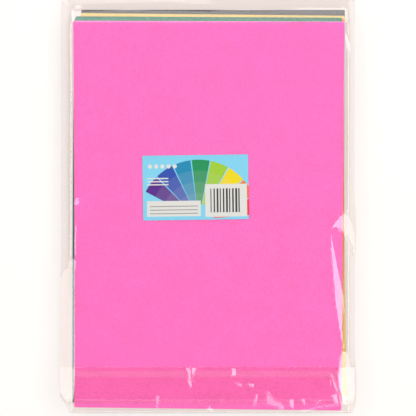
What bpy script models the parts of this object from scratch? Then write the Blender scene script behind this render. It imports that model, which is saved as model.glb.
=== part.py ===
"""Retail pack of craft foam sheets: a loosely squared stack of coloured foam in a clear self-seal bag.

The pack lies flat. +X runs across the sheets, +Y along them towards the bag's folded end, and +Z is up.
The origin is at the middle of the bag's footprint, on the surface that the pack lies on. The stack has
its own plan frame, with its zero at the middle of the top sheet, and one empty carries it to the origin.
"""

import math
from typing import NamedTuple

import bmesh
import bpy
from mathutils import Matrix, Vector

MM = 0.001

# Foam sheets, cut near to A4
SHEET_WIDTH = 208.0 * MM
SHEET_LENGTH = 300.0 * MM
SHEET_THICKNESS = 2.0 * MM
SHEET_CORNER_RADIUS = 1.2 * MM

# What rests on its neighbour keeps this gap to it
TOUCH_GAP = 0.3 * MM

# Bag film and how far it stands off the stack
FILM_GAUGE = 0.1 * MM
LEFT_MARGIN = 10.8 * MM
RIGHT_MARGIN = 7.6 * MM
FOLD_MARGIN = 11.7 * MM
END_CLEARANCE = 0.5 * MM
END_BULGE = 2.7 * MM
SHOULDER = 0.5 * MM
WELD_SHARE = 0.33
RIPPLE_HEIGHT = 0.7 * MM
RIPPLE_PITCH = 83.0 * MM

# The mouth: the front panel's lip, and the flap that folds round the stack's end and over the front
LIP_SETBACK = 6.5 * MM
FLAP_REACH = 35.0 * MM
CORNER_DRAW_LENGTH = 14.0 * MM
LEFT_CORNER_DRAW = 5.0 * MM
RIGHT_CORNER_DRAW = 2.5 * MM
CORNER_LIFT_BACK = 3.9 * MM

# Seal tape on the flap
TAPE_WIDTH = 4.8 * MM
TAPE_THICKNESS = 0.1 * MM
TAPE_SETBACK = 4.3 * MM
TAPE_OVERHANG = 2.0 * MM

# Paper label on the front film
LABEL_WIDTH = 82.0 * MM
LABEL_HEIGHT = 50.2 * MM
LABEL_THICKNESS = 0.1 * MM
LABEL_CORNER_RADIUS = 0.8 * MM
LABEL_ACROSS = -9.75 * MM
LABEL_ALONG = 21.5 * MM
LABEL_TURN = 0.8

# How finely the film and the round corners are divided
CORNER_SEGMENTS = 4
FLAT_COLUMNS = 10
SLOPE_COLUMNS = 6
FLAP_ROWS = 6
END_ROWS = 10
MOUTH_ROWS = 2
FLAT_ROWS = 18
FOLD_ROWS = 8
WELD_MERGE = 0.01 * MM


class Sheet(NamedTuple):
    """One foam sheet: its colour, its slip from the top sheet, its turn and how far it is out of square."""

    name: str
    colour: tuple
    across: float
    along: float
    turn: float
    skew: float


# From the top of the stack to its foot
SHEETS = (
    Sheet("pink", (0.93, 0.13, 0.47), 0.0, 0.0, -0.16, -0.29),
    Sheet("lilac", (0.55, 0.38, 0.75), 1.4 * MM, 0.3 * MM, -0.45, 0.26),
    Sheet("green", (0.02, 0.26, 0.11), -0.9 * MM, 2.9 * MM, -0.2, -0.2),
    Sheet("leaf_green", (0.04, 0.32, 0.14), -0.3 * MM, 5.2 * MM, -0.17, -0.15),
    Sheet("orange", (0.95, 0.21, 0.05), 2.1 * MM, 5.0 * MM, -0.33, 0.0),
    Sheet("yellow", (0.97, 0.72, 0.08), 3.9 * MM, 8.2 * MM, 0.11, -0.7),
    Sheet("black", (0.03, 0.03, 0.03), 3.6 * MM, 12.3 * MM, 0.0, 0.0),
    Sheet("blue", (0.03, 0.16, 0.55), 1.5 * MM, 6.0 * MM, 0.1, 0.0),
    Sheet("red", (0.70, 0.03, 0.04), -0.5 * MM, 7.5 * MM, -0.2, 0.0),
    Sheet("white", (0.85, 0.85, 0.84), 1.0 * MM, 3.0 * MM, 0.15, 0.0),
)


def sheet_corners(sheet):
    """Return the four corners of a sheet in the stack's plan frame."""
    turned = Matrix.Rotation(math.radians(sheet.turn), 2)
    lean = math.tan(math.radians(sheet.skew))
    slip = Vector((sheet.across, sheet.along))
    corners = []
    for x in (-SHEET_WIDTH / 2, SHEET_WIDTH / 2):
        for y in (-SHEET_LENGTH / 2, SHEET_LENGTH / 2):
            corners.append(turned @ Vector((x, y + x * lean)) + slip)
    return corners


# How far the stack and its top sheet reach
STACK_CORNERS = [corner for sheet in SHEETS for corner in sheet_corners(sheet)]
TOP_CORNERS = sheet_corners(SHEETS[0])
STACK_LEFT = -min(corner.x for corner in STACK_CORNERS)
STACK_RIGHT = max(corner.x for corner in STACK_CORNERS)
STACK_END = min(corner.y for corner in STACK_CORNERS)
STACK_HEAD = max(corner.y for corner in STACK_CORNERS)

# Levels, from the film's underside up; film levels are those of the middle of its gauge
BACK_LEVEL = FILM_GAUGE / 2
STACK_FOOT = FILM_GAUGE + TOUCH_GAP
SHEET_PITCH = SHEET_THICKNESS + TOUCH_GAP
STACK_TOP = STACK_FOOT + len(SHEETS) * SHEET_PITCH - TOUCH_GAP
FRONT_LEVEL = STACK_TOP + TOUCH_GAP + FILM_GAUGE / 2
WELD_LEVEL = WELD_SHARE * FRONT_LEVEL
TAPE_LIFT = FILM_GAUGE / 2 + TOUCH_GAP + TAPE_THICKNESS / 2
FLAP_LIFT = 2 * TAPE_LIFT
LABEL_FOOT = FRONT_LEVEL + FILM_GAUGE / 2 + TOUCH_GAP

# Plan lines of the bag: where its front and back lie flat, its welds, its fold and its mouth
LEFT_FLAT = -min(corner.x for corner in TOP_CORNERS) + SHOULDER
RIGHT_FLAT = max(corner.x for corner in TOP_CORNERS) + SHOULDER
LEFT_WELD = STACK_LEFT + LEFT_MARGIN
RIGHT_WELD = STACK_RIGHT + RIGHT_MARGIN
FOLD_LINE = STACK_HEAD + FOLD_MARGIN
HEAD_FLAT = max(corner.y for corner in TOP_CORNERS) + SHOULDER
END_LINE = STACK_END - END_CLEARANCE
LIP_LINE = END_LINE + LIP_SETBACK
FLAP_EDGE = END_LINE + FLAP_REACH

# Half of the film's columns either side lie over the stack
FLAT_SHARE = FLAT_COLUMNS / (FLAT_COLUMNS + SLOPE_COLUMNS)

PACK_CENTRE = Vector(((RIGHT_WELD - LEFT_WELD) / 2, (FOLD_LINE + END_LINE - END_BULGE) / 2, 0.0))


def ease(share):
    """Return a smooth step from 0 to 1, flat at both ends."""
    share = min(max(share, 0.0), 1.0)
    return share * share * (3 - 2 * share)


def crown(share):
    """Return the film's rise from a weld, at 0, to where it lies flat, at 1: a quarter of a round."""
    return math.sin(math.pi / 2 * min(max(share, 0.0), 1.0))


def weld_reach(side, y):
    """Return how far out the weld on one side (-1 or 1) lies at y: the mouth's corners are drawn in."""
    reach, draw = (RIGHT_WELD, RIGHT_CORNER_DRAW) if side > 0 else (LEFT_WELD, LEFT_CORNER_DRAW)
    return reach - draw * ease((END_LINE + CORNER_DRAW_LENGTH - y) / CORNER_DRAW_LENGTH)


def weld_level(side, y):
    """Return the weld's height at y, where the loose margin ripples."""
    return WELD_LEVEL + RIPPLE_HEIGHT * math.sin(2 * math.pi * y / RIPPLE_PITCH + side)


def column_x(share, y):
    """Return where a film column lies at y; share runs from -1 at the left weld to 1 at the right."""
    flat = RIGHT_FLAT if share > 0 else LEFT_FLAT
    weld = weld_reach(share, y)
    distance = abs(share)
    if distance <= FLAT_SHARE:
        return math.copysign(flat * distance / FLAT_SHARE, share)
    slope = (distance - FLAT_SHARE) / (1 - FLAT_SHARE)
    return math.copysign(flat + (weld - flat) * slope, share)


def margin_crown(x, y, stack_left, stack_right, head):
    """Return 0 at the welds and the fold, and 1 where the film lies flat on the stack."""
    side = math.copysign(1.0, x)
    weld = weld_reach(side, y)
    flat = stack_right if x > 0 else stack_left
    return crown((weld - abs(x)) / (weld - flat)) * crown((FOLD_LINE - y) / (FOLD_LINE - head))


def front_height(x, y):
    """Return the height of the bag's front film over a point of the plan."""
    low = weld_level(math.copysign(1.0, x), y)
    return low + (FRONT_LEVEL - low) * margin_crown(x, y, LEFT_FLAT, RIGHT_FLAT, HEAD_FLAT)


def back_height(x, y):
    """Return the height of the bag's back film over a point of the plan."""
    low = weld_level(math.copysign(1.0, x), y)
    lies = margin_crown(x, y, STACK_LEFT + SHOULDER, STACK_RIGHT + SHOULDER, STACK_HEAD + SHOULDER)
    return low + (BACK_LEVEL - low) * lies


def end_y(share):
    """Return where the film turns up round the stack's end: the corners are drawn back."""
    slope = 1 - crown((1 - abs(share)) / (1 - FLAT_SHARE))
    return END_LINE + CORNER_LIFT_BACK * slope


def flap_point(share, step):
    """Return a point of the flap; step runs from 0 at its free edge to 1 at the stack's end."""
    y = FLAP_EDGE + (end_y(share) - FLAP_EDGE) * step
    x = column_x(share, y)
    return Vector((x, y, front_height(x, y) + FLAP_LIFT))


def end_point(share, step):
    """Return a point where the film goes round the stack's end, from the flap at 0 to the back at 1."""
    y = end_y(share)
    x = column_x(share, y)
    high = front_height(x, y) + FLAP_LIFT
    low = back_height(x, y)
    half = (high - low) / 2
    bulge = half + (END_BULGE - half) * crown((1 - abs(share)) / (1 - FLAT_SHARE))
    angle = math.pi * (0.5 - step)
    return Vector((x, y - bulge * math.cos(angle), (high + low) / 2 + half * math.sin(angle)))


def mouth_point(share, step):
    """Return a point of the back panel between the stack's end, at 0, and the front panel's lip, at 1."""
    y = end_y(share) + (LIP_LINE - end_y(share)) * step
    x = column_x(share, y)
    return Vector((x, y, back_height(x, y)))


def back_point(share, y):
    """Return a point of the back panel at y."""
    x = column_x(share, y)
    return Vector((x, y, back_height(x, y)))


def front_point(share, y):
    """Return a point of the front panel at y."""
    x = column_x(share, y)
    return Vector((x, y, front_height(x, y)))


def panel_lines():
    """Return the y of the rows that the two panels share, from the lip to the fold, closer on the slope."""
    flat = [LIP_LINE + (HEAD_FLAT - LIP_LINE) * row / FLAT_ROWS for row in range(FLAT_ROWS)]
    slope = [HEAD_FLAT + (FOLD_LINE - HEAD_FLAT) * row / FOLD_ROWS for row in range(FOLD_ROWS + 1)]
    return flat + slope


def film_rows():
    """Return the film's rows in order, from the flap's free edge round to the lip, as point functions."""
    rows = [(flap_point, row / FLAP_ROWS) for row in range(FLAP_ROWS)]
    rows += [(end_point, row / END_ROWS) for row in range(END_ROWS)]
    rows += [(mouth_point, row / MOUTH_ROWS) for row in range(MOUTH_ROWS)]
    lines = panel_lines()
    rows += [(back_point, y) for y in lines]
    rows += [(front_point, y) for y in reversed(lines[:-1])]
    return rows


def film_columns():
    """Return the film's columns from -1 to 1 at its side edges."""
    count = FLAT_COLUMNS + SLOPE_COLUMNS
    return [column / count for column in range(-count, count + 1)]


def blank_mesh(name, rows, columns):
    """Return a mesh of a flat rectangular blank, laid along rows of point functions."""
    shape = bmesh.new()
    across = len(columns) - 1
    along = len(rows) - 1
    bmesh.ops.create_grid(shape, x_segments=across, y_segments=along, size=0.5)
    for vert in shape.verts:
        column = round((vert.co.x + 0.5) * across)
        place, step = rows[round((vert.co.y + 0.5) * along)]
        vert.co = place(columns[column], step)
    bmesh.ops.remove_doubles(shape, verts=shape.verts, dist=WELD_MERGE)
    bmesh.ops.recalc_face_normals(shape, faces=shape.faces)
    mesh = bpy.data.meshes.new(name)
    shape.to_mesh(mesh)
    shape.free()
    mesh.shade_smooth()
    return mesh


def board_mesh(name, width, length, thickness, radius, skew):
    """Return a mesh of a flat board with round corners, standing on z 0, out of square by skew degrees."""
    shape = bmesh.new()
    bmesh.ops.create_cube(shape, size=1.0)
    bmesh.ops.scale(shape, vec=(width, length, thickness), verts=shape.verts)
    bmesh.ops.translate(shape, vec=(0.0, 0.0, thickness / 2), verts=shape.verts)
    upright = [edge for edge in shape.edges if abs(edge.verts[0].co.z - edge.verts[1].co.z) > thickness / 2]
    bmesh.ops.bevel(
        shape, geom=upright, offset=radius, segments=CORNER_SEGMENTS, profile=0.5, affect="EDGES"
    )
    lean = math.tan(math.radians(skew))
    for vert in shape.verts:
        vert.co.y += vert.co.x * lean
    mesh = bpy.data.meshes.new(name)
    shape.to_mesh(mesh)
    shape.free()
    return mesh


def finish(name, colour, roughness, alpha=1.0):
    """Return a material with one colour and roughness; alpha under 1 is see-through."""
    material = bpy.data.materials.new(name)
    material.use_nodes = True
    shader = material.node_tree.nodes["Principled BSDF"]
    shader.inputs["Base Color"].default_value = (*colour, 1.0)
    shader.inputs["Roughness"].default_value = roughness
    shader.inputs["Metallic"].default_value = 0.0
    shader.inputs["Alpha"].default_value = alpha
    return material


def add_piece(name, mesh, material, collection, frame):
    """Add one named piece to the pack and return it."""
    piece = bpy.data.objects.new(name, mesh)
    piece.data.materials.append(material)
    piece.parent = frame
    collection.objects.link(piece)
    return piece


def thicken(piece, gauge):
    """Give an open sheet its gauge, half to each side."""
    shell = piece.modifiers.new("gauge", "SOLIDIFY")
    shell.thickness = gauge
    shell.offset = 0.0
    shell.use_even_offset = True
    shell.use_quality_normals = True


def add_sheets(collection, frame):
    """Add the foam sheets, from the top one down."""
    level = STACK_TOP
    for sheet in SHEETS:
        name = "foam_sheet_" + sheet.name
        level -= SHEET_THICKNESS
        mesh = board_mesh(
            name, SHEET_WIDTH, SHEET_LENGTH, SHEET_THICKNESS, SHEET_CORNER_RADIUS, sheet.skew
        )
        piece = add_piece(name, mesh, finish("foam_" + sheet.name, sheet.colour, 0.85), collection, frame)
        piece.location = (sheet.across, sheet.along, level)
        piece.rotation_euler.z = math.radians(sheet.turn)
        level -= TOUCH_GAP


def add_bag(collection, frame):
    """Add the bag: one blank of film, folded round the stack and welded along both sides to its lip."""
    mesh = blank_mesh("poly_bag", film_rows(), film_columns())
    film = finish("clear_film", (0.93, 0.93, 0.93), 0.08, alpha=0.2)
    thicken(add_piece("poly_bag", mesh, film, collection, frame), FILM_GAUGE)


def add_tape(collection, frame):
    """Add the seal tape, between the flap and the front film."""
    edge = FLAP_EDGE - TAPE_SETBACK
    slope = TAPE_OVERHANG / (min(LEFT_WELD, RIGHT_WELD) - max(LEFT_FLAT, RIGHT_FLAT))
    reach = FLAT_SHARE + (1 - FLAT_SHARE) * slope
    columns = [reach * column / FLAT_COLUMNS for column in range(-FLAT_COLUMNS, FLAT_COLUMNS + 1)]

    def tape_point(share, y):
        x = column_x(share, y)
        return Vector((x, y, front_height(x, y) + TAPE_LIFT))

    mesh = blank_mesh("seal_tape", [(tape_point, edge - TAPE_WIDTH), (tape_point, edge)], columns)
    glue = finish("seal_adhesive", (0.9, 0.9, 0.88), 0.4, alpha=0.5)
    thicken(add_piece("seal_tape", mesh, glue, collection, frame), TAPE_THICKNESS)


def add_label(collection, frame):
    """Add the paper label on the front film."""
    mesh = board_mesh("label", LABEL_WIDTH, LABEL_HEIGHT, LABEL_THICKNESS, LABEL_CORNER_RADIUS, 0.0)
    paper = finish("label_paper", (0.25, 0.68, 0.95), 0.45)
    piece = add_piece("label", mesh, paper, collection, frame)
    piece.location = (LABEL_ACROSS, LABEL_ALONG, LABEL_FOOT)
    piece.rotation_euler.z = math.radians(LABEL_TURN)


def main():
    """Build the pack in an empty scene."""
    for leftover in list(bpy.data.objects):
        bpy.data.objects.remove(leftover, do_unlink=True)
    collection = bpy.data.collections.new("craft_foam_pack")
    bpy.context.scene.collection.children.link(collection)
    frame = bpy.data.objects.new("pack_frame", None)
    frame.location = -PACK_CENTRE
    collection.objects.link(frame)
    add_sheets(collection, frame)
    add_bag(collection, frame)
    add_tape(collection, frame)
    add_label(collection, frame)


main()
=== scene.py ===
"""Looks of a pack of craft foam sheets: fanned coloured foam in a clear, glossy self-seal bag.

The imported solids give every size. Each foam sheet, the bag's film, its seal tape and its label are
modelled again here in finer meshes that stand where those solids are. Sizes are in metres, with +X
across the sheets, +Y along them towards the bag's folded end, and +Z up.
"""

import logging
import math
from collections.abc import Callable
from dataclasses import dataclass
from enum import Enum
from typing import Any

import bmesh
import bpy
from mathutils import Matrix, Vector, noise


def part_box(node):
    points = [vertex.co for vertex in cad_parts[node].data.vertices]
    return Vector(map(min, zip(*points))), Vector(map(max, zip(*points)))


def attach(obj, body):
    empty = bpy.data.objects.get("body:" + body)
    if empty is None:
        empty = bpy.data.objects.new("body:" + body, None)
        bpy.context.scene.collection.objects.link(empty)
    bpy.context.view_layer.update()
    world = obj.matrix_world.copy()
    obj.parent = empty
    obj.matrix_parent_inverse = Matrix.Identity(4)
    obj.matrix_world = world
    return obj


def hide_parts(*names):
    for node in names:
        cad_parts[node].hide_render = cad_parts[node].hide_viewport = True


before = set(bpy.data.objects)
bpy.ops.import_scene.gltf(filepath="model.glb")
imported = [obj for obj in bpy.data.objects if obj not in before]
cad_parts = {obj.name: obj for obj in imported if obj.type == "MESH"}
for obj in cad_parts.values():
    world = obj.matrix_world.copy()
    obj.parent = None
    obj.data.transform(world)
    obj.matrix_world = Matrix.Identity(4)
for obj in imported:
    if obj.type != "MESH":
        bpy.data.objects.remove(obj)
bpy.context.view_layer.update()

MM = 0.001
BODY = "root"
Triple = tuple[float, float, float]
Colour = Triple
PlanPoint = tuple[float, float]

# The photograph, in its own pixels: its frame, and the top sheet's middle and width in it
PHOTO_SIDE = 416
PHOTO_SHEET_MIDDLE = (208.2, 215.2)
PHOTO_SHEET_WIDTH = 269.3

# The top sheet in the frame: its box, its middle, and the length that one pixel shows on it
SHEET_LOW, SHEET_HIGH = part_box("foam_sheet_pink")
SHEET_MIDDLE = (SHEET_LOW + SHEET_HIGH) / 2
PIXEL = (SHEET_HIGH.x - SHEET_LOW.x) / PHOTO_SHEET_WIDTH

# How much of the drop at the bag's head the film takes as a straight slope
HEAD_LEAN = 0.35

# The film's columns, counted from the middle: where the flat ends, and the weld
FLAT_END = 1.0
WELD = 2.0

# The angle from which an edge is shaded sharp, and how upright a flat skin's normal is at least
SHARP_ANGLE = math.radians(38)
UPRIGHT = 0.5

# The power by which film mirrors more towards a glancing view
GLANCE_POWER = 5

log = logging.getLogger("foam_pack")


def at(x: float, y: float) -> PlanPoint:
    """Return the plan point on the top sheet that the photograph shows at a pixel."""
    middle_x, middle_y = PHOTO_SHEET_MIDDLE
    return (SHEET_MIDDLE.x + (x - middle_x) * PIXEL, SHEET_MIDDLE.y + (middle_y - y) * PIXEL)


class Side(Enum):
    """The pack's two long sides."""

    LEFT = -1
    RIGHT = 1

    @classmethod
    def of(cls, x: float) -> "Side":
        """Return the side that x lies on."""
        return cls.RIGHT if x > 0 else cls.LEFT


class Waves(Enum):
    """The layers of smooth noise, each by its depth in the noise."""

    STACK = 4.1
    MARGIN = 1.7
    HEAD = 8.3
    FLAP = 5.5


def ease(share: float) -> float:
    """Return a smooth step from 0 to 1, flat at both ends."""
    share = min(max(share, 0.0), 1.0)
    return share * share * (3 - 2 * share)


def crown(share: float) -> float:
    """Return a rise from 0 to 1 along a quarter of a round, flat at its top."""
    return math.sin(math.pi / 2 * min(max(share, 0.0), 1.0))


def leaning(share: float) -> float:
    """Return a rise from 0 to 1 that still slopes where it meets the flat."""
    return HEAD_LEAN * min(max(share, 0.0), 1.0) + (1 - HEAD_LEAN) * crown(share)


def hump(share: float) -> float:
    """Return a rise from 0 to 1 at half way and back to 0, and nothing beyond."""
    return 4 * share * (1 - min(share, 1.0))


def spaced(start: float, end: float, steps: int) -> list[float]:
    """Return steps + 1 even values from start to end."""
    return [start + (end - start) * step / steps for step in range(steps + 1)]


def rough(x: float, y: float, across: float, along: float, waves: Waves) -> float:
    """Return smooth noise from -1 to 1.

    Args:
        x: Where across the pack.
        y: Where along the pack.
        across: The noise's grain across the pack.
        along: Its grain along the pack.
        waves: Which layer of noise.

    Returns:
        The noise there.
    """
    return noise.noise(Vector((x / across, y / along, waves.value)))


class Term:
    """A shader value. Python's operators on it add Math nodes to its graph."""

    def __init__(self, graph: "Graph", socket: bpy.types.NodeSocket) -> None:
        """Wrap one output socket of a graph."""
        self.graph = graph
        self.socket = socket

    def _maths(self, operation: str, *values: "Term | float") -> "Term":
        """Return a Math node's result on some values."""
        made = self.graph.node("ShaderNodeMath", {"operation": operation}, dict(enumerate(values)))
        return Term(self.graph, made.outputs[0])

    def __add__(self, other: "Term | float") -> "Term":
        """Return self + other."""
        return self._maths("ADD", self, other)

    __radd__ = __add__

    def __sub__(self, other: "Term | float") -> "Term":
        """Return self - other."""
        return self._maths("SUBTRACT", self, other)

    def __rsub__(self, other: float) -> "Term":
        """Return other - self."""
        return self._maths("SUBTRACT", other, self)

    def __mul__(self, other: "Term | float") -> "Term":
        """Return self * other."""
        return self._maths("MULTIPLY", self, other)

    __rmul__ = __mul__

    def __truediv__(self, other: "Term | float") -> "Term":
        """Return self / other."""
        return self._maths("DIVIDE", self, other)

    def __pow__(self, other: float) -> "Term":
        """Return self ** other."""
        return self._maths("POWER", self, other)

    def __lt__(self, other: "Term | float") -> "Term":
        """Return 1 where self < other, or else 0."""
        return self._maths("LESS_THAN", self, other)

    def __gt__(self, other: "Term | float") -> "Term":
        """Return 1 where self > other, or else 0."""
        return self._maths("GREATER_THAN", self, other)

    def __mod__(self, other: float) -> "Term":
        """Return what is left over other, from 0 up."""
        return self._maths("FLOORED_MODULO", self, other)

    def angle_to(self, other: "Term") -> "Term":
        """Return the angle whose tangent is self / other."""
        return self._maths("ARCTAN2", self, other)

    def root(self) -> "Term":
        """Return the square root."""
        return self._maths("SQRT", self)

    def floor(self) -> "Term":
        """Return the whole number below."""
        return self._maths("FLOOR", self)


class Graph:
    """One material and its node tree."""

    def __init__(self, name: str) -> None:
        """Make an empty material."""
        self.material = bpy.data.materials.new(name)
        self.material.use_nodes = True
        self.tree = self.material.node_tree
        self.tree.nodes.clear()

    def node(
        self, kind: str, settings: dict[str, Any] | None = None, inputs: dict[Any, Any] | None = None
    ) -> bpy.types.Node:
        """Add a node.

        Args:
            kind: The node's type.
            settings: Its settings, set first; ramp holds a colour ramp's stops.
            inputs: Its sockets' values or links, by name or number.

        Returns:
            The node.
        """
        made = self.tree.nodes.new(kind)
        for name, value in (settings or {}).items():
            if name == "ramp":
                self._set_ramp(made.color_ramp, value)
            else:
                setattr(made, name, value)
        for name, value in (inputs or {}).items():
            if isinstance(value, Term):
                value = value.socket
            if isinstance(value, bpy.types.NodeSocket):
                self.tree.links.new(value, made.inputs[name])
            elif isinstance(value, tuple) and len(value) < len(made.inputs[name].default_value):
                made.inputs[name].default_value = (*value, 1.0)
            else:
                made.inputs[name].default_value = value
        return made

    @staticmethod
    def _set_ramp(ramp: bpy.types.ColorRamp, stops: list[tuple[float, Colour]]) -> None:
        """Give a ramp its stops.

        Args:
            ramp: The ramp.
            stops: Each stop's position and colour, in order.
        """
        while len(ramp.elements) > 1:
            ramp.elements.remove(ramp.elements[-1])
        ramp.elements[0].position = stops[0][0]
        ramp.elements[0].color = (*stops[0][1], 1.0)
        for position, colour in stops[1:]:
            ramp.elements.new(position).color = (*colour, 1.0)

    def place(self) -> bpy.types.NodeSocket:
        """Return the piece's own coordinates, in metres."""
        return self.node("ShaderNodeTexCoord").outputs["Object"]

    def mapped(self, middle: Vector, turn: float, unit: Triple) -> bpy.types.NodeSocket:
        """Return coordinates centred on a point, turned, and in units of length.

        Args:
            middle: The point.
            turn: The turn about the upright, in radians.
            unit: The unit along each axis, in metres.

        Returns:
            The coordinates.
        """
        settings = {"vector_type": "TEXTURE"}
        inputs = {"Vector": self.place(), "Location": middle, "Rotation": (0.0, 0.0, turn), "Scale": unit}
        return self.node("ShaderNodeMapping", settings, inputs).outputs[0]

    def noise(self, where: bpy.types.NodeSocket, scale: float, detail: float = 2.0) -> Term:
        """Return fractal noise from 0 to 1."""
        inputs = {"Vector": where, "Scale": scale, "Detail": detail}
        return Term(self, self.node("ShaderNodeTexNoise", None, inputs).outputs[0])

    def cells(self, where: bpy.types.NodeSocket, scale: float) -> Term:
        """Return the distance to the nearest of scattered points, in their own unit."""
        inputs = {"Vector": where, "Scale": scale}
        return Term(self, self.node("ShaderNodeTexVoronoi", None, inputs).outputs[0])

    def blend(self, mask: Term | float, under: Any, over: Any) -> bpy.types.NodeSocket:
        """Return the colour under where mask is 0 and over where it is 1."""
        inputs = {0: mask, 6: under, 7: over}
        return self.node("ShaderNodeMix", {"data_type": "RGBA"}, inputs).outputs[2]

    def bump(self, height: Term, distance: float) -> bpy.types.NodeSocket:
        """Return the normal of a surface with a height map."""
        return self.node("ShaderNodeBump", None, {"Height": height, "Distance": distance}).outputs[0]

    def principled(self, inputs: dict[str, Any]) -> bpy.types.NodeSocket:
        """Return a Principled shader."""
        return self.node("ShaderNodeBsdfPrincipled", None, inputs).outputs[0]

    def close(self, shader: bpy.types.NodeSocket) -> bpy.types.Material:
        """Send a shader to the surface and return the material."""
        self.node("ShaderNodeOutputMaterial", None, {"Surface": shader})
        return self.material


@dataclass(frozen=True)
class FoamFinish:
    """Closed-cell craft foam: matt, with a fine pebbled skin and a faint mottle."""

    colour: Colour
    cell: float = 0.35 * MM
    grain: float = 1.3 * MM
    blotch: float = 18.0 * MM
    blotch_detail: float = 3.0
    blotch_share: float = 0.4
    grain_share: float = 1.6
    mask_offset: float = 0.5
    mottle: float = 0.20
    roughness: float = 0.72
    cell_gloss: float = 0.12
    specular: float = 0.35
    sheen: float = 0.08
    sheen_roughness: float = 0.4
    pit: float = 0.03 * MM

    def material(self, name: str) -> bpy.types.Material:
        """Return the material of the sheet's skin.

        Args:
            name: The material's name.

        Returns:
            The material.
        """
        graph = Graph(name)
        where = graph.place()
        soft = graph.noise(where, 1 / self.blotch, self.blotch_detail)
        grain = graph.noise(where, 1 / self.grain)
        cells = graph.cells(where, 1 / self.cell)
        dark = tuple(channel * (1 - self.mottle) for channel in self.colour)
        pale = tuple(min(channel * (1 + self.mottle), 1.0) for channel in self.colour)
        mask = soft * self.blotch_share + grain * self.grain_share - self.mask_offset
        shader = graph.principled({
            "Base Color": graph.blend(mask, dark, pale),
            "Roughness": self.roughness - self.cell_gloss * cells,
            "Specular IOR Level": self.specular,
            "Sheen Weight": self.sheen,
            "Sheen Roughness": self.sheen_roughness,
            "Normal": graph.bump(cells + grain, self.pit),
        })
        return graph.close(shader)


@dataclass(frozen=True)
class CutFinish:
    """The cut edge of craft foam, where open cells catch the light."""

    colour: Colour
    cell: float = 0.28 * MM
    pit: float = 0.09 * MM
    fade: float = 0.06
    shade: float = 0.7
    roughness: float = 0.9
    specular: float = 0.2

    def material(self, name: str) -> bpy.types.Material:
        """Return the material of the sheet's cut edges.

        Args:
            name: The material's name.

        Returns:
            The material.
        """
        graph = Graph(name)
        where = graph.place()
        cells = graph.cells(where, 1 / self.cell)
        pale = tuple((1 - self.fade) * channel + self.fade for channel in self.colour)
        dark = tuple(self.shade * channel for channel in self.colour)
        shader = graph.principled({
            "Base Color": graph.blend(cells, pale, dark),
            "Roughness": self.roughness,
            "Specular IOR Level": self.specular,
            "Normal": graph.bump(cells, self.pit),
        })
        return graph.close(shader)


@dataclass(frozen=True)
class FilmFinish:
    """Clear glossy polypropylene film: it mirrors more at a glance, and is slightly warm in tint."""

    mirror: float = 0.034
    gloss: Colour = (0.96, 0.96, 0.97)
    clear: Colour = (0.993, 0.979, 0.972)
    roughness: float = 0.075
    facing_blend: float = 0.5
    crinkle: float = 0.012 * MM
    crinkle_pitch: float = 3.2 * MM
    crinkle_stretch: Triple = (1.0, 3.0, 1.0)

    def material(self, name: str) -> bpy.types.Material:
        """Return the film's material.

        Args:
            name: The material's name.

        Returns:
            The material.
        """
        graph = Graph(name)
        long_grain = graph.mapped(Vector(), 0.0, self.crinkle_stretch)
        crinkle = graph.noise(long_grain, 1 / self.crinkle_pitch)
        glance = graph.node("ShaderNodeLayerWeight", None, {"Blend": self.facing_blend})
        facing = Term(graph, glance.outputs["Facing"])
        gloss = graph.principled({
            "Base Color": self.gloss,
            "Metallic": 1.0,
            "Roughness": self.roughness,
            "Normal": graph.bump(crinkle, self.crinkle),
        })
        clear = graph.node("ShaderNodeBsdfTransparent", None, {"Color": self.clear}).outputs[0]
        mirrors = self.mirror + (1 - self.mirror) * facing**GLANCE_POWER
        shader = graph.node("ShaderNodeMixShader", None, {0: mirrors, 1: clear, 2: gloss}).outputs[0]
        return graph.close(shader)


@dataclass(frozen=True)
class TapeFinish:
    """Seal tape: clear adhesive, slightly milky in an uneven, cloudy way."""

    glue: Colour = (0.98, 0.92, 0.97)
    roughness: float = 0.45
    solid: float = 0.03
    cloud: float = 1.4 * MM
    cloud_contrast: float = 3.0
    cloud_offset: float = 0.5
    relief: float = 0.05 * MM

    def material(self, name: str) -> bpy.types.Material:
        """Return the tape's material.

        Args:
            name: The material's name.

        Returns:
            The material.
        """
        graph = Graph(name)
        cloud = graph.noise(graph.place(), 1 / self.cloud)
        glue = graph.principled({
            "Base Color": self.glue,
            "Roughness": self.roughness,
            "Normal": graph.bump(cloud, self.relief),
        })
        clear = graph.node("ShaderNodeBsdfTransparent").outputs[0]
        milky = self.solid * (self.cloud_contrast * cloud - self.cloud_offset)
        shader = graph.node("ShaderNodeMixShader", None, {0: milky, 1: clear, 2: glue}).outputs[0]
        return graph.close(shader)


@dataclass(frozen=True)
class Panel:
    """A plain printed rectangle on the label, in millimetres from the label's middle."""

    left: float
    bottom: float
    right: float
    top: float

    def mask(self, x: Term, y: Term) -> Term:
        """Return 1 inside the panel, or else 0."""
        return (x > self.left) * (x < self.right) * (y > self.bottom) * (y < self.top)

    def stripes(self, x: Term, y: Term, pitch: float, height: float) -> Term:
        """Return 1 on even stripes across the panel, or else 0."""
        return self.mask(x, y) * ((y - self.bottom) % pitch < height)


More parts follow.
